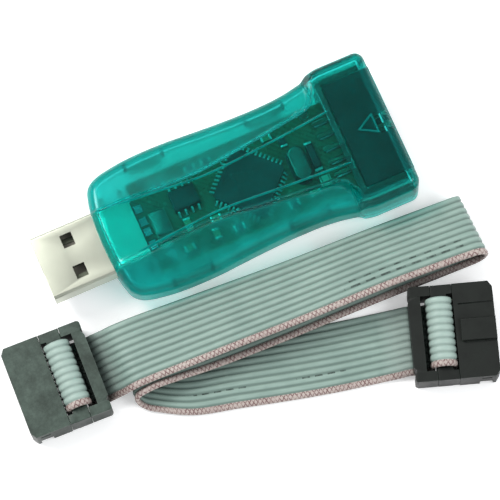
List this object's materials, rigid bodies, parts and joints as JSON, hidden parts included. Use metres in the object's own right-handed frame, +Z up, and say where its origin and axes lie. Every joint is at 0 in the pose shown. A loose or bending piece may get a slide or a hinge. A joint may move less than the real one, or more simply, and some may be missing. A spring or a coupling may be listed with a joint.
{
  "type": "usb microcontroller programmer",
  "caption": "USB stick programmer in a translucent waisted case, with a shrouded pin header at one end and a loose flat ribbon cable with a socket at each end",
  "frame": {"origin": "middle of the stick's case in plan, on the plane the stick rests on", "axes": "+X along the stick from the USB plug towards the header end, +Y away from the cable, +Z up"},
  "size_m": [0.0873, 0.0636, 0.0121],
  "materials": {
    "tinted_shell": "translucent teal moulding, polished, light scratches",
    "nickel_plate": "nickel-plated steel, satin, insertion marks",
    "pale_insulator": "moulded, matte",
    "gold_plate": "thin gold plating",
    "board_laminate": "green solder mask on glass laminate",
    "chip_epoxy": "moulded epoxy, fine grain",
    "tinned_leads": "tinned",
    "ceramic_base": "fired ceramic",
    "crystal_can_metal": "drawn can, satin",
    "capacitor_ceramic": "fired ceramic",
    "led_lens": "clear resin over a pale base",
    "black_moulding": "glass-filled moulding, matte",
    "solder": "bright solder",
    "socket_moulding": "glass-filled moulding, satin",
    "ribbon_pvc": "grey flat-cable insulation, soft sheen",
    "tinned_copper": "stranded, tinned"
  },
  "bodies": {
    "programmer": {"bottom_shell": "tinted_shell", "usb_plug_shell": "nickel_plate", "usb_plug_insulator": "pale_insulator", "usb_contacts": "gold_plate", "circuit_board": "board_laminate", "microcontroller_body": "chip_epoxy", "microcontroller_leads": "tinned_leads", "regulator_body": "chip_epoxy", "regulator_leads": "tinned_leads", "clock_crystal_base": "ceramic_base", "clock_crystal_lid": "crystal_can_metal", "resonator_can": "crystal_can_metal", "resonator_base": "chip_epoxy", "protection_diode_body": "chip_epoxy", "protection_diode_ends": "tinned_leads", "chip_resistors": "chip_epoxy", "chip_capacitors": "capacitor_ceramic", "chip_end_caps": "tinned_leads", "indicator_leds": "led_lens", "header_shroud": "black_moulding", "header_pins": "gold_plate", "solder_joints": "solder"},
    "top_cover": {"top_shell": "tinted_shell"},
    "cable_lower": {"ribbon_bottom_run": "ribbon_pvc", "wires_bottom_run": "tinned_copper"},
    "cable_middle": {"ribbon_middle_run": "ribbon_pvc", "wires_middle_run": "tinned_copper"},
    "cable_upper": {"ribbon_top_run": "ribbon_pvc", "wires_top_run": "tinned_copper"},
    "socket_a": {"socket_a_housing": "socket_moulding", "socket_a_contacts": "gold_plate", "socket_a_cover": "socket_moulding", "socket_a_strain_clip": "socket_moulding", "socket_a_ribbon_end": "ribbon_pvc", "socket_a_wire_ends": "tinned_copper"},
    "socket_b": {"socket_b_housing": "socket_moulding", "socket_b_contacts": "gold_plate", "socket_b_cover": "socket_moulding", "socket_b_strain_clip": "socket_moulding", "socket_b_ribbon_end": "ribbon_pvc", "socket_b_wire_ends": "tinned_copper"}
  },
  "joints": [
    {"name": "top_cover_lift", "type": "slide", "parent": "programmer", "child": "top_cover", "axis": [0, 0, 1], "range_m": [0, 0.015]},
    {"name": "cable_lift", "type": "slide", "parent": "programmer", "child": "cable_lower", "axis": [0, 0, 1], "range_m": [0, 0.03]},
    {"name": "fold_left", "type": "hinge", "parent": "cable_lower", "child": "cable_middle", "pos_m": [-0.03115, -0.0217, 0.00228], "axis": [-0.0554, -0.9967, 0.0593], "range_deg": [0, 20]},
    {"name": "fold_right", "type": "hinge", "parent": "cable_middle", "child": "cable_upper", "pos_m": [0.03195, -0.0226, 0.00343], "axis": [0.0944, 0.9836, -0.1534], "range_deg": [0, 40]},
    {"name": "socket_a_tilt", "type": "hinge", "parent": "cable_upper", "child": "socket_a", "pos_m": [-0.03738, -0.01919, 0.00112], "axis": [0.0384, 0.9993, 0], "range_deg": [0, 20]},
    {"name": "socket_b_tilt", "type": "hinge", "parent": "cable_lower", "child": "socket_b", "pos_m": [0.01532, -0.03695, 0.00102], "axis": [-0.3206, -0.9472, 0], "range_deg": [0, 30]}
  ],
  "couplings": [
    {"joint": "fold_right", "follows": "fold_left", "ratio": 2}
  ]
}
